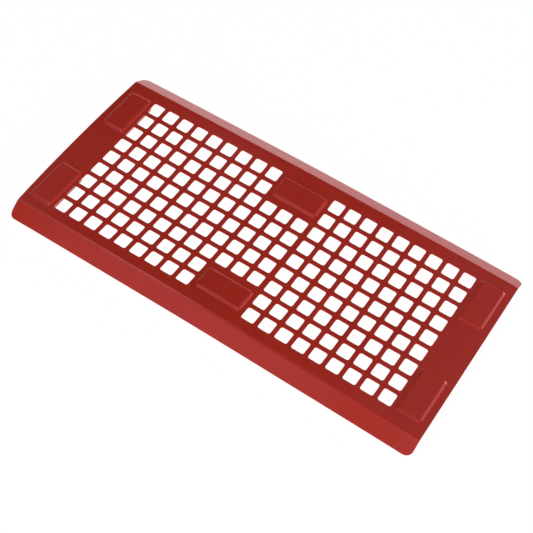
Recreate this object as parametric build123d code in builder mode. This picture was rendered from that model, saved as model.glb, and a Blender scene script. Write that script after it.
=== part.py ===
"""Drop-in grid panel of a trough feeder.

A thin pressed sheet with a perforated, slightly dished deck, a flange bent down along each long side,
and six raised pads. A moulded foot block plugs into the hollow under each pad and carries the panel.

X runs along the panel, Y across it (front is -Y), Z is up.
The origin is on the ground plane, under the middle of the panel.
"""

import os
from math import cos, radians, sin, sqrt, tan

from build123d import *

os.makedirs("parts", exist_ok=True)

# Sheet
panel_length = 495.0
sheet = 1.0
deck_height = 10.8  # top of the deck above the ground, on the centre line
dish_radius = 1129.0  # the deck is dished: its long sides stand higher than its middle
dish_angle = 5.18  # how far the deck turns from the centre line to each bend, in degrees
bend_radius = 7.0
flange_run = 18.5
flange_angle = 30.0
corner_radius = 8.0

# Holes
columns = 21
rows = 9
pitch_x = 20.0
pitch_y = 20.7
hole_x = 14.7
hole_y = 15.5
hole_radius = 2.2
middle_column_x = -2.2  # the pattern of holes stands a little left of the middle of the sheet
bank_gap = 1.2  # extra space between the two banks of holes
last_column_of_left_bank = 11
blank_columns = (9, 10, 11)  # the middle pads take the place of these holes
blank_rows = (0, 1, 7, 8)

# Raised pads
pad_length = 57.2
pad_width = 29.8
pad_radius = 4.5
pad_height = 2.0
pad_slope = 1.6  # height and width of the sloping wall round a pad
hollow_inset = sheet * (sqrt(2) - 1)  # the mouth of the hollow stands this far inside the pad's outline
pads_x = -1.4  # the middle of the pattern of pads
pads_turn = 0.34  # the pads are pressed a little askew to the holes, turned by this many degrees
end_pad_x = 226.4
end_pad_y = 63.2
middle_pad_y = 72.0

# Feet
foot_gap = 0.35  # all round, between a foot and the mouth of its hollow
foot_edge = 0.8
glue_line = 0.1  # between the top of a foot and the roof of its pad

# Each pad's place, and whether its long side runs along X
skew = end_pad_x * tan(radians(pads_turn))
pad_sites = {
    "left_front": (pads_x - end_pad_x, -end_pad_y - skew, False),
    "left_rear": (pads_x - end_pad_x, end_pad_y - skew, False),
    "middle_front": (pads_x, -middle_pad_y, True),
    "middle_rear": (pads_x, middle_pad_y, True),
    "right_front": (pads_x + end_pad_x, -end_pad_y + skew, False),
    "right_rear": (pads_x + end_pad_x, end_pad_y + skew, False),
}


def deck_z(y):
    """Height of the deck's top surface above the ground, at a distance y from the centre line."""
    return deck_height + dish_radius - sqrt(dish_radius**2 - y**2)


def deck_plane(x, y):
    """The plane that touches the deck's top surface at x, y, with its own X along the panel."""
    slope = -y / dish_radius
    return Plane(origin=(x, y, deck_z(y)), x_dir=(1, 0, 0), z_dir=(0, slope, sqrt(1 - slope**2)))


def pad_outline(along_x, inset):
    """A pad's outline, drawn inside the pad's own edge by the inset."""
    size_x, size_y = (pad_length, pad_width) if along_x else (pad_width, pad_length)
    RectangleRounded(size_x - 2 * inset, size_y - 2 * inset, pad_radius - inset)


def pad_blocks(base, top, inset):
    """One block at each pad, from base to top above the deck, with sloping walls at its top."""
    with BuildPart() as blocks:
        for x, y, along_x in pad_sites.values():
            with BuildSketch(deck_plane(x, y).offset(base)):
                pad_outline(along_x, inset)
            extrude(amount=top - base)
            ends = blocks.faces(Select.LAST).group_by(SortBy.AREA)[-1]
            chamfer(ends.sort_by(Axis.Z)[-1].edges(), length=pad_slope)
    return blocks.part


def column_x(column):
    """The X of a column of holes."""
    x = middle_column_x + (column - columns // 2) * pitch_x
    return x + bank_gap if column > last_column_of_left_bank else x


hole_sites = [
    (column_x(column), (row - rows // 2) * pitch_y)
    for column in range(columns)
    for row in range(rows)
    if not (column in blank_columns and row in blank_rows)
]

# Deck: a dished strip, with the pads raised on it and the holes punched through
pads = pad_blocks(base=-sheet / 2, top=pad_height, inset=0)
hollows = pad_blocks(base=-2 * sheet, top=pad_height - sheet, inset=hollow_inset)
deck_half_width = dish_radius * sin(radians(dish_angle))
bend_start = (deck_half_width, deck_z(deck_half_width))
with BuildPart() as deck_panel:
    with BuildSketch(Plane.YZ):
        with BuildLine():
            ThreePointArc((-bend_start[0], bend_start[1]), (0, deck_height), bend_start)
            offset(amount=sheet, side=Side.RIGHT)
        make_face()
    extrude(amount=panel_length / 2, both=True)
    add(pads)
    add(hollows, mode=Mode.SUBTRACT)
    with BuildSketch():
        with Locations(*hole_sites):
            RectangleRounded(hole_x, hole_y, hole_radius)
    extrude(amount=2 * deck_height, mode=Mode.SUBTRACT)
deck_panel.part.label = "deck_panel"
export_step(deck_panel.part, "parts/deck_panel.step")

# Rear flange: a bend and a flat strip, with its two outer corners rounded
with BuildPart() as rear_flange:
    with BuildSketch(Plane.YZ):
        with BuildLine():
            bend = JernArc(
                start=bend_start,
                tangent=(cos(radians(dish_angle)), sin(radians(dish_angle))),
                radius=bend_radius,
                arc_size=-(dish_angle + flange_angle),
            )
            Line(bend @ 1, bend @ 1 + (bend % 1) * flange_run)
            offset(amount=sheet, side=Side.RIGHT)
        make_face()
    extrude(amount=panel_length / 2, both=True)
    edges_through_sheet = rear_flange.edges().filter_by(lambda edge: abs(edge.length - sheet) < 0.001)
    fillet(edges_through_sheet.sort_by(Axis.Z)[:2], radius=corner_radius)
rear_flange.part.label = "rear_flange"
export_step(rear_flange.part, "parts/rear_flange.step")

# Front flange: the rear one's mirror image
with BuildPart() as front_flange:
    add(rear_flange.part)
    mirror(about=Plane.XZ, mode=Mode.REPLACE)
front_flange.part.label = "front_flange"
export_step(front_flange.part, "parts/front_flange.step")

# Feet: blocks from the ground up into the pads, with the top edges cut back from the sloping walls
foot_inset = hollow_inset + foot_gap
for site, (x, y, along_x) in pad_sites.items():
    with BuildPart() as foot:
        with BuildSketch():
            with Locations((x, y)):
                pad_outline(along_x, foot_inset)
        extrude(amount=2 * deck_height)
        split(bisect_by=deck_plane(x, y).offset(pad_height - sheet - glue_line), keep=Keep.BOTTOM)
        chamfer(foot.faces().sort_by(Axis.Z)[-1].edges(), length=pad_height)
        chamfer(foot.faces().sort_by(Axis.Z)[0].edges(), length=foot_edge)
    foot.part.label = "foot_" + site
    export_step(foot.part, "parts/foot_" + site + ".step")
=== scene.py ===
"""Looks of the grid panel of a trough feeder: one pressed and powder-coated sheet, standing on six moulded feet.

All sizes are in metres, in the frame of the CAD model: X along the panel, Y across it, Z up from the ground.
The sheet is drawn flat, by x and by s, the distance from its centre line along its section, and is then bent.
"""

from math import cos, pi, radians, sin, tan

import bpy
import numpy as np
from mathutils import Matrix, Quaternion, Vector


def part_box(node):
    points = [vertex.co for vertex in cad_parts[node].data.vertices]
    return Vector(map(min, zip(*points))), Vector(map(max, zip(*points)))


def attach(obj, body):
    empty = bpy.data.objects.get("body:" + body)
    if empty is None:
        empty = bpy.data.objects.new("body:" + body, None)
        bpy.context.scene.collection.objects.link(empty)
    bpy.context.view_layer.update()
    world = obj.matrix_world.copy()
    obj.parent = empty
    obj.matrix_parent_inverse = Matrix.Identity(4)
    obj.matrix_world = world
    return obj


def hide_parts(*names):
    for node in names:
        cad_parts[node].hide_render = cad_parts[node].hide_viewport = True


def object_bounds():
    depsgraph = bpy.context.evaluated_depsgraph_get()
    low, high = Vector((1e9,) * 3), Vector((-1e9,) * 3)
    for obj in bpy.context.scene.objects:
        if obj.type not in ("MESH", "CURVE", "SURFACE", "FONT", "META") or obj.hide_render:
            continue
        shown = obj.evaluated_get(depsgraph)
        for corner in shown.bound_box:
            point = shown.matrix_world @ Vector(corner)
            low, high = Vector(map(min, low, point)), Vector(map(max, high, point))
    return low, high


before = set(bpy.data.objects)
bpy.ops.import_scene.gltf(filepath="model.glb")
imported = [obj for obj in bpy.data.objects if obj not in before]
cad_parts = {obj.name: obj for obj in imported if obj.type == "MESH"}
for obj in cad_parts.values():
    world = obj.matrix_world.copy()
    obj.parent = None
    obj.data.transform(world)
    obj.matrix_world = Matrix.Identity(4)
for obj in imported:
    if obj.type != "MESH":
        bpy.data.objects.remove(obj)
cad_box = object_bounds()
mm = 0.001

# Section of the sheet, as in the CAD model
sheet = 1.0 * mm
dish_radius = 1129.0 * mm
dish_angle = radians(5.18)
bend_radius = 7.0 * mm
flange_angle = radians(30.0)
flange_run = 18.5 * mm
corner_radius = 8.0 * mm
half_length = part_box("deck_panel")[1].x
deck_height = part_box("deck_panel")[0].z + sheet
deck_edge = dish_radius * dish_angle
bend_edge = deck_edge + bend_radius * (dish_angle + flange_angle)
flange_edge = bend_edge + flange_run

# Holes, as in the CAD model
columns = 21
rows = 9
pitch_x = 20.0 * mm
pitch_y = 20.7 * mm
hole_half = (7.35 * mm, 7.75 * mm)
hole_radius = 2.2 * mm
middle_column_x = -2.2 * mm
bank_gap = 1.2 * mm
last_column_of_left_bank = 11
blank_columns = (9, 10, 11)
blank_rows = (0, 1, 7, 8)
end_pad_rows = 3  # rows of holes that an end pad stands beside
middle_pad_rows = 2  # rows of holes that a middle pad takes the place of

# Pads: raised over the feet, and a little larger than each foot
feet = [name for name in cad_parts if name.startswith("foot_")]
pad_height = 2.0 * mm
pad_radius = 4.5 * mm
pad_top_radius = 1.2 * mm
wall_angle = radians(36.0)
wall_foot_radius = 0.5 * mm
wall_shoulder_radius = 3.5 * mm
foot_inset = 0.764 * mm
foot_top_gap = 0.2 * mm
foot_top_radius = 0.5 * mm
foot_shoulder_rise = 2.1 * mm
foot_shoulder_width = 3.5 * mm
foot_rounding = 0.4 * mm
sole_rounding = 0.8 * mm

# The thin sheet's own shape: its sag between the feet, its drooping corners, and its slightly bowed left end
sag = 1.66 * mm
stiffening = 0.75  # the share of the sag that the folds take away along the deck's edges
corner_drop = 3.8 * mm
end_bow = 3.0 * mm
bow_middle = 10.0 * mm
bow_half_width = 110.0 * mm
bowed_strip = 5.0 * mm

# Brightness of the surroundings, where 1 is white
ground_glow = 1.9
ceiling_glow = 0.05
studio_radius = 3.0

# Mesh density
cell_steps = 8  # along each side of a hole's cell
hole_corner_steps = 3  # on half a hole's corner
pad_corner_steps = 4  # on half a pad's corner
edge_steps = 3  # from the last row's cells to the bend
wall_foot_steps = 2
wall_shoulder_steps = 7
bend_steps = 6
flange_steps = 5
end_steps = 7  # from the rounded corner of a flange to the first hole's cell
flange_corner_steps = 5
foot_steps = (16, 16)
sole_steps = 4


# ---------------------------------------------------------------- shared helpers

def make_object(name, points, faces):
    """A smooth-shaded mesh object."""
    mesh = bpy.data.meshes.new(name)
    mesh.from_pydata([tuple(point) for point in points], [], faces)
    mesh.update()
    mesh.shade_smooth()
    piece = bpy.data.objects.new(name, mesh)
    bpy.context.scene.collection.objects.link(piece)
    return piece


def rounded_loop(centre, half, radius, steps, corner_steps):
    """A rounded rectangle, counter-clockwise from the middle of its low corner. Each side, up to the middle of the
    next corner, has its number of steps, and corner_steps of them lie on each half corner."""
    points = []
    for side in range(4):
        half_run, half_width = half[side % 2], half[1 - side % 2]
        count = steps[side % 2]
        turn_x, turn_y = ((1, 0), (0, 1), (-1, 0), (0, -1))[side]
        for step in range(count):
            from_corner = min(step, count - step)
            if from_corner < corner_steps:
                angle = pi / 4 * (1 - from_corner / corner_steps)
                along = half_run - radius + radius * sin(angle)
                out = half_width - radius + radius * cos(angle)
            else:
                share = (from_corner - corner_steps) / (count - 2 * corner_steps)
                along = (half_run - radius) * (1 - 2 * share)
                out = half_width
            if 2 * step < count:
                along = -along
            points.append((centre[0] + along * turn_x + out * turn_y, centre[1] + along * turn_y - out * turn_x))
    return points


def grid_loop(xs, ss):
    """The outline of a patch of the sheet's grid, counter-clockwise from its low corner, with all the grid's points."""
    low = [(x, ss[0]) for x in xs[:-1]]
    right = [(xs[-1], s) for s in ss[:-1]]
    high = [(x, ss[-1]) for x in xs[:0:-1]]
    left = [(xs[0], s) for s in ss[:0:-1]]
    return low + right + high + left


def filled_loop(loop, steps):
    """A lattice of points that fills a four-sided loop, blended from its sides."""
    count_x, count_s = steps
    points = np.array(loop)
    low = points[:count_x + 1]
    right = points[count_x:count_x + count_s + 1]
    high = points[count_x + count_s:2 * count_x + count_s + 1][::-1]
    left = np.concatenate([points[2 * count_x + count_s:], points[:1]])[::-1]
    u = np.linspace(0, 1, count_x + 1)[:, None, None]
    v = np.linspace(0, 1, count_s + 1)[None, :, None]
    sides = (1 - v) * low[:, None] + v * high[:, None] + (1 - u) * left[None] + u * right[None]
    corners = (1 - u) * ((1 - v) * low[0] + v * high[0]) + u * ((1 - v) * low[-1] + v * high[-1])
    return sides - corners


# ---------------------------------------------------------------- the sheet

def skin(x, s, h=0.0):
    """Points of the sheet's top surface at x and s, raised by h."""
    run = np.abs(s)
    on_deck = np.minimum(run, deck_edge) / dish_radius
    on_bend = np.clip(run - deck_edge, 0, bend_edge - deck_edge) / bend_radius
    on_flange = np.maximum(run - bend_edge, 0)
    slope = on_deck - on_bend
    y = dish_radius * np.sin(on_deck) + bend_radius * (np.sin(on_deck) - np.sin(slope))
    z = dish_radius * (1 - np.cos(on_deck)) + bend_radius * (np.cos(slope) - np.cos(on_deck))
    y = y + on_flange * np.cos(slope) - h * np.sin(slope)
    z = z + on_flange * np.sin(slope) + h * np.cos(slope) - hang(x, run)
    return np.stack([x - bow(x, s), np.sign(s) * y, deck_height + z], axis=-1)


def hang(x, run):
    """How much lower than the straight CAD sheet the real one hangs, at a distance run from its centre line."""
    middle = foot_plan("foot_middle_front")[0][0]
    span = foot_plan("foot_right_front")[0][0] - middle
    out = (np.minimum(run, deck_edge) / deck_edge) ** 2
    between_feet = (1 - np.cos(2 * pi * (x - middle) / span)) / 2
    return sag * between_feet * (1 - stiffening * out) + corner_drop * out * (x / half_length) ** 2


def bow(x, s):
    """How far the left end stands out beyond a straight line."""
    outermost = np.clip((-x - half_length) / bowed_strip + 1, 0, 1)
    return end_bow * outermost * (1 - ((s - bow_middle) / bow_half_width) ** 2)


class Patches:
    """Patches of the sheet's top surface, drawn flat as x, s and a height, and welded where they meet."""

    def __init__(self):
        self.points = []
        self.index = {}
        self.faces = []

    def point(self, x, s, height=0.0):
        key = tuple(round(value / mm, 3) for value in (x, s, height))
        if key not in self.index:
            self.index[key] = len(self.points)
            self.points.append((x, s, height))
        return self.index[key]

    def loop(self, outline, height=0.0):
        return [self.point(x, s, height) for x, s in outline]

    def band(self, outer, inner):
        """Faces between two loops of as many points."""
        for i in range(len(outer)):
            j = (i + 1) % len(outer)
            self.faces.append((outer[i], outer[j], inner[j], inner[i]))

    def lattice(self, points, height=0.0):
        """Faces between the points of a lattice, given by column and row."""
        index = [[self.point(x, s, height) for x, s in column] for column in points]
        for left, right in zip(index, index[1:]):
            for j in range(len(left) - 1):
                self.faces.append((left[j], right[j], right[j + 1], left[j + 1]))

    def grid(self, xs, ss):
        self.lattice([[(x, s) for s in ss] for x in xs])


def column_x(column):
    """The X of a column of holes."""
    x = middle_column_x + (column - columns // 2) * pitch_x
    return x + bank_gap if column > last_column_of_left_bank else x


def stations(first, last, steps):
    """Evenly spaced lines from first to last."""
    return [first + (last - first) * step / steps for step in range(steps + 1)]


def column_borders():
    """The X of the borders of the holes' cells: one more than there are columns."""
    centres = [column_x(column) for column in range(columns)]
    between = [(a + b) / 2 for a, b in zip(centres, centres[1:])]
    return [centres[0] - pitch_x / 2] + between + [centres[-1] + pitch_x / 2]


def row_borders():
    """The s of the borders of the holes' cells."""
    return [(row - rows / 2) * pitch_y for row in range(rows + 1)]


def end_lines():
    """Distances from the middle of the panel to its end, spaced to suit the flanges' rounded corners."""
    angles = stations(0, pi / 2, flange_corner_steps)
    return [half_length - corner_radius * (1 - sin(angle)) for angle in angles]


def joined(*lists):
    """Lines that follow on from each other, as one list without doubles."""
    lines = list(lists[0])
    for more in lists[1:]:
        lines += more[1:]
    return lines


def pad_profile():
    """How far in from its outline, and how high, each loop of a pad's wall is: a sharp foot and a soft shoulder."""
    foot_angles = stations(0, wall_angle, wall_foot_steps)
    foot = [(wall_foot_radius * sin(a), wall_foot_radius * (1 - cos(a))) for a in foot_angles]
    shoulder_angles = stations(wall_angle, 0, wall_shoulder_steps)
    drops = [(wall_shoulder_radius * sin(a), wall_shoulder_radius * (1 - cos(a))) for a in shoulder_angles]
    straight_rise = pad_height - drops[0][1] - foot[-1][1]
    width = foot[-1][0] + straight_rise / tan(wall_angle) + drops[0][0]
    return foot + [(width - inset, pad_height - drop) for inset, drop in drops]


def add_pad(patches, xs, ss, centre, half):
    """A patch of the grid with a raised pad in it."""
    steps = (len(xs) - 1, len(ss) - 1)
    outer = patches.loop(grid_loop(xs, ss))
    for inset, height in pad_profile():
        inner_half = (half[0] - inset, half[1] - inset)
        radius = max(pad_radius - inset, pad_top_radius)
        outline = rounded_loop(centre, inner_half, radius, steps, pad_corner_steps)
        inner = patches.loop(outline, height)
        patches.band(outer, inner)
        outer = inner
    patches.lattice(filled_loop(outline, steps), height)


def add_hole(patches, xs, ss, x, s):
    """A cell of the grid with a hole in it."""
    steps = (len(xs) - 1, len(ss) - 1)
    outline = rounded_loop((x, s), hole_half, hole_radius, steps, hole_corner_steps)
    patches.band(patches.loop(grid_loop(xs, ss)), patches.loop(outline))


def add_flanges(patches, xs):
    """Both bends and flanges, whose outer corners are rounded."""
    bend = stations(deck_edge, bend_edge, bend_steps)
    for side in (-1, 1):
        patches.grid(xs, sorted(side * s for s in bend))
        lattice = []
        for x in xs:
            past = max(0.0, abs(x) - half_length + corner_radius)
            cut = corner_radius - (max(0.0, corner_radius**2 - past**2)) ** 0.5
            lines = stations(bend_edge, flange_edge - cut, flange_steps)
            lattice.append([(x, s) for s in sorted(side * s for s in lines)])
        patches.lattice(lattice)


def foot_plan(name):
    """The middle of a foot, and of the pad over it, and half the pad's size."""
    low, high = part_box(name)
    centre = (low + high) / 2
    half = (high - low) / 2
    return (centre.x, centre.y), (half.x + foot_inset, half.y + foot_inset)


def make_sheet():
    """The whole pressed sheet: deck, pads, holes, bends and flanges in one skin, then given its thickness."""
    patches = Patches()
    x_borders, s_borders = column_borders(), row_borders()
    right_end = joined(stations(x_borders[-1], half_length - corner_radius, end_steps), end_lines())
    left_start = stations(half_length - corner_radius, -x_borders[0], end_steps)
    left_end = [-x for x in joined(end_lines()[::-1], left_start)]
    cell_xs = [stations(a, b, cell_steps) for a, b in zip(x_borders, x_borders[1:])]
    cell_ss = [stations(a, b, cell_steps) for a, b in zip(s_borders, s_borders[1:])]
    xs = joined(left_end, *cell_xs, right_end)
    for column in range(columns):
        for row in range(rows):
            if not (column in blank_columns and row in blank_rows):
                site = (column_x(column), (row - rows // 2) * pitch_y)
                add_hole(patches, cell_xs[column], cell_ss[row], *site)
    edge = stations(s_borders[-1], deck_edge, edge_steps)
    ss = joined([-line for line in edge[::-1]], *cell_ss, edge)
    for name in feet:
        centre, half = foot_plan(name)
        near_side = centre[1] < 0
        if "middle" in name:
            pad_xs = joined(*[cell_xs[column] for column in blank_columns])
            pad_ss = joined(*(cell_ss[:middle_pad_rows] if near_side else cell_ss[-middle_pad_rows:]))
        else:
            pad_xs = left_end if centre[0] < 0 else right_end
            side_lines = end_pad_rows * cell_steps + len(edge)
            pad_ss = ss[:side_lines] if near_side else ss[-side_lines:]
        add_pad(patches, pad_xs, pad_ss, centre, half)
    between_pads = joined(*cell_ss[end_pad_rows:-end_pad_rows])
    patches.grid(left_end, between_pads)
    patches.grid(right_end, between_pads)
    patches.grid(joined(*cell_xs), edge)
    patches.grid(joined(*cell_xs), [-line for line in edge[::-1]])
    add_flanges(patches, xs)
    x, s, h = np.array(patches.points).T
    piece = make_object("pressed_sheet", skin(x, s, h), patches.faces)
    thicken(piece)
    return piece


def thicken(piece):
    """Gives the skin the sheet's thickness, and the edges the small radius that the coating leaves."""
    solid = piece.modifiers.new("thickness", "SOLIDIFY")
    solid.thickness = sheet
    solid.offset = -1
    solid.use_even_offset = True
    edges = piece.modifiers.new("coated_edges", "BEVEL")
    edges.width = 0.3 * mm
    edges.segments = 3
    edges.limit_method = "ANGLE"
    edges.angle_limit = radians(60)
    edges.use_clamp_overlap = False
    normals = piece.modifiers.new("flat_faces", "WEIGHTED_NORMAL")
    normals.weight = 80


# ---------------------------------------------------------------- the feet

def make_foot(name):
    """A moulded block: a rounded sole edge, straight sides, and a shoulder cut back to fit the pad's hollow."""
    centre, half = foot_plan(name)
    count = 2 * sum(foot_steps)
    roof = pad_height - sheet - foot_top_gap
    points = []
    for inset, height in sole_profile():
        x, y = np.array(foot_loop(centre, half, inset)).T
        points.extend(np.stack([x, y, np.full(count, height)], axis=-1))
    for inset, depth in shoulder_profile():
        x, y = np.array(foot_loop(centre, half, inset)).T
        points.extend(skin(x, y, roof - depth))
    rings = len(points) // count
    faces = [tuple(range(count))[::-1], tuple(range(len(points) - count, len(points)))]
    for ring in range(rings - 1):
        for i in range(count):
            j = (i + 1) % count
            low, high = ring * count, (ring + 1) * count
            faces.append((low + i, low + j, high + j, high + i))
    piece = make_object(name + "_block", points, faces)
    normals = piece.modifiers.new("flat_faces", "WEIGHTED_NORMAL")
    normals.weight = 80
    return piece


def foot_loop(centre, half, inset):
    """The foot's outline, drawn in by an inset."""
    own_half = (half[0] - foot_inset - inset, half[1] - foot_inset - inset)
    radius = max(pad_radius - foot_inset - inset, foot_top_radius)
    return rounded_loop(centre, own_half, radius, foot_steps, pad_corner_steps)


def sole_profile():
    """Inset and height of each loop round the foot's lower edge."""
    angles = stations(0, pi / 2, sole_steps)
    return [(sole_rounding * (1 - sin(angle)), sole_rounding * (1 - cos(angle))) for angle in angles]


def shoulder_profile():
    """Inset, and depth below the foot's top, of each loop round its upper edge."""
    side = [(0.0, foot_shoulder_rise + foot_rounding), (0.0, foot_shoulder_rise)]
    slope = [(foot_rounding, foot_shoulder_rise - foot_rounding), (foot_shoulder_width, 0.0)]
    return side + slope + [(foot_shoulder_width + foot_rounding, 0.0)]


# ---------------------------------------------------------------- materials

class Material:
    """A node material: its shader, and short calls that add nodes and link or set their inputs."""

    def __init__(self, name):
        self.material = bpy.data.materials.new(name)
        self.material.use_nodes = True
        self.tree = self.material.node_tree
        self.shader = self.tree.nodes["Principled BSDF"]
        self.place = self.node("TexCoord").outputs["Object"]

    def put(self, socket, value):
        if isinstance(value, bpy.types.NodeSocket):
            self.tree.links.new(value, socket)
        else:
            socket.default_value = value

    def node(self, kind, **inputs):
        node = self.tree.nodes.new("ShaderNode" + kind)
        for name, value in inputs.items():
            self.put(node.inputs[name.replace("_", " ")], value)
        return node

    def set(self, **inputs):
        for name, value in inputs.items():
            self.put(self.shader.inputs[name.replace("_", " ")], value)

    def noise(self, size, detail=2.0):
        """Noise from 0 to 1 with blotches of about this size, in metres."""
        return self.node("TexNoise", Vector=self.place, Scale=1 / size, Detail=detail).outputs["Fac"]

    def spread(self, value, low, high):
        """The middle of a noise's range, stretched to low and high."""
        node = self.node("MapRange", Value=value, From_Min=0.3, From_Max=0.7, To_Min=low, To_Max=high)
        return node.outputs["Result"]

    def colours(self, value, first, last):
        """A colour between first and last."""
        node = self.node("ValToRGB", Fac=value)
        node.color_ramp.elements[0].color = (*first, 1)
        node.color_ramp.elements[1].color = (*last, 1)
        return node.outputs["Color"]

    def bump(self, height, distance, strength=1.0, normal=None):
        node = self.node("Bump", Height=height, Distance=distance, Strength=strength)
        if normal:
            self.put(node.inputs["Normal"], normal)
        return node.outputs["Normal"]


def shade(colour, factor):
    """A colour, darker or lighter by a factor."""
    return tuple(channel * factor for channel in colour)


def red_powder_coat():
    """Satin red powder coat: a fine orange peel, and a little unevenness in colour and gloss."""
    coat = Material("red_powder_coat")
    red = (0.435, 0.0267, 0.0141)
    clouds = coat.noise(70 * mm, detail=3.0)
    peel = coat.noise(1.6 * mm)
    grain = coat.noise(0.5 * mm, detail=1.0)
    coat.set(
        Base_Color=coat.colours(coat.spread(clouds, 0.0, 1.0), shade(red, 0.96), shade(red, 1.04)),
        Roughness=coat.spread(peel, 0.19, 0.24),
        Specular_Tint=(1.0, 0.41, 0.54, 1),
        Normal=coat.bump(peel, 0.02 * mm, normal=coat.bump(grain, 0.003 * mm)),
    )
    return coat.material


def red_rubber():
    """Moulded red rubber with a fine matt grain."""
    rubber = Material("red_rubber")
    red = (0.33, 0.03, 0.026)
    clouds = rubber.noise(12 * mm)
    grain = rubber.noise(0.5 * mm)
    rubber.set(
        Base_Color=rubber.colours(rubber.spread(clouds, 0.0, 1.0), shade(red, 0.9), shade(red, 1.08)),
        Roughness=rubber.spread(grain, 0.55, 0.7),
        Normal=rubber.bump(grain, 0.03 * mm),
    )
    return rubber.material


def finish_piece(piece, material, slot, *nodes):
    """Gives a piece its material and body, and hides the CAD nodes it stands for. The slot is not used."""
    piece.data.materials.append(material)
    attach(piece, "root")
    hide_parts(*nodes)


# ---------------------------------------------------------------- studio

def make_floor():
    """A plain white floor. Only the camera sees it: what lights the panel from below is the world's lower half."""
    reach = 12.0
    corners = [(x * reach, y * reach, cad_box[0].z) for x, y in ((-1, -1), (1, -1), (1, 1), (-1, 1))]
    floor = make_object("floor", corners, [(0, 1, 2, 3)])
    white = Material("white_floor")
    white.set(
        Base_Color=(0.08, 0.08, 0.08, 1),
        Roughness=0.9,
        Specular_IOR_Level=0.0,
        Emission_Color=(1, 1, 1, 1),
        Emission_Strength=0.95,
    )
    floor.data.materials.append(white.material)
    floor.visible_diffuse = False
    floor.visible_glossy = False
    floor.visible_shadow = False


def make_world():
    """Bright ground, a white cyclorama round the horizon, and a dark ceiling."""
    world = bpy.data.worlds.new("studio")
    world.use_nodes = True
    tree = world.node_tree
    place = tree.nodes.new("ShaderNodeTexCoord")
    split = tree.nodes.new("ShaderNodeSeparateXYZ")
    height = tree.nodes.new("ShaderNodeMapRange")
    height.inputs["From Min"].default_value = -1
    ramp = tree.nodes.new("ShaderNodeValToRGB")
    tree.links.new(place.outputs["Generated"], split.inputs["Vector"])
    tree.links.new(split.outputs["Z"], height.inputs["Value"])
    tree.links.new(height.outputs["Result"], ramp.inputs["Fac"])
    tree.links.new(ramp.outputs["Color"], tree.nodes["Background"].inputs["Color"])
    stops = ramp.color_ramp.elements
    for z, grey in ((-0.1, ground_glow), (-0.05, 1.0), (0.06, 1.0), (0.2, ceiling_glow)):
        stop = stops.new((z + 1) / 2)
        stop.color = (grey, grey, grey, 1)
    stops.remove(stops[0])
    stops.remove(stops[-1])
    bpy.context.scene.world = world


def make_softbox(name, azimuth, elevation, width, height, brightness):
    """A soft light that faces the panel. Its place and its size are given in degrees, as the panel sees them.
    Azimuth 0 is in front of the panel, and 90 at its right end. A brightness of 1 is white."""
    light = bpy.data.lights.new(name, "AREA")
    light.shape = "RECTANGLE"
    light.size = 2 * studio_radius * tan(radians(width / 2)) * cos(radians(elevation))
    light.size_y = 2 * studio_radius * tan(radians(height / 2))
    light.energy = pi * light.size * light.size_y * brightness
    softbox = bpy.data.objects.new(name, light)
    bpy.context.scene.collection.objects.link(softbox)
    back = direction(azimuth, elevation)
    softbox.location = back * studio_radius
    softbox.rotation_euler = back.to_track_quat("Z", "Y").to_euler()
    softbox.visible_camera = False


def light_studio():
    """Low strips round the front, right and rear, which the flanges and pad walls catch, and high soft lights."""
    make_softbox("front_right_strip", azimuth=50, elevation=6, width=40, height=12, brightness=5.6)
    make_softbox("front_strip", azimuth=10, elevation=6, width=40, height=12, brightness=1.8)
    make_softbox("right_rear_strip", azimuth=140, elevation=6, width=40, height=12, brightness=7.2)
    make_softbox("rear_strip", azimuth=210, elevation=6, width=40, height=12, brightness=1.0)
    make_softbox("right_low", azimuth=124, elevation=21, width=24, height=18, brightness=2.1)
    make_softbox("right_high", azimuth=110, elevation=40, width=50, height=20, brightness=0.9)
    make_softbox("front_middle", azimuth=0, elevation=40, width=45, height=20, brightness=0.8)
    make_softbox("front_high", azimuth=30, elevation=60, width=40, height=20, brightness=4.9)
    make_softbox("left_front", azimuth=330, elevation=50, width=36, height=40, brightness=1.05)
    make_softbox("left_high", azimuth=270, elevation=60, width=80, height=20, brightness=1.0)
    make_softbox("rear_high", azimuth=170, elevation=60, width=40, height=20, brightness=0.6)
    make_softbox("left_top", azimuth=258, elevation=66, width=40, height=10, brightness=4.0)
    make_softbox("overhead", azimuth=210, elevation=79, width=80, height=18, brightness=0.5)


def direction(azimuth, elevation):
    """The direction from the panel to something at this azimuth and elevation, in degrees."""
    azimuth, elevation = radians(azimuth), radians(elevation)
    return Vector((sin(azimuth) * cos(elevation), -cos(azimuth) * cos(elevation), sin(elevation)))


def make_camera():
    """The camera looks down on the panel from its front right, leaning a little."""
    target = Vector((18.2, -22.6, 10.8)) * mm
    distance = 1186.0 * mm
    lean = radians(4.35)
    data = bpy.data.cameras.new("camera")
    data.lens = 77.0
    data.sensor_width = 36.0
    data.clip_start = 0.01
    camera = bpy.data.objects.new("camera", data)
    bpy.context.scene.collection.objects.link(camera)
    back = direction(29.96, 56.02)
    camera.location = target + back * distance
    camera.rotation_mode = "QUATERNION"
    camera.rotation_quaternion = back.to_track_quat("Z", "Y") @ Quaternion((0, 0, 1), lean)
    bpy.context.scene.camera = camera


def main():
    coat, rubber = red_powder_coat(), red_rubber()
    finish_piece(make_sheet(), coat, "red_powder_coat", "deck_panel", "front_flange", "rear_flange")
    for name in feet:
        finish_piece(make_foot(name), rubber, "red_rubber", name)
    make_floor()
    make_world()
    light_studio()
    make_camera()
    bpy.context.scene.view_settings.view_transform = "Standard"


main()
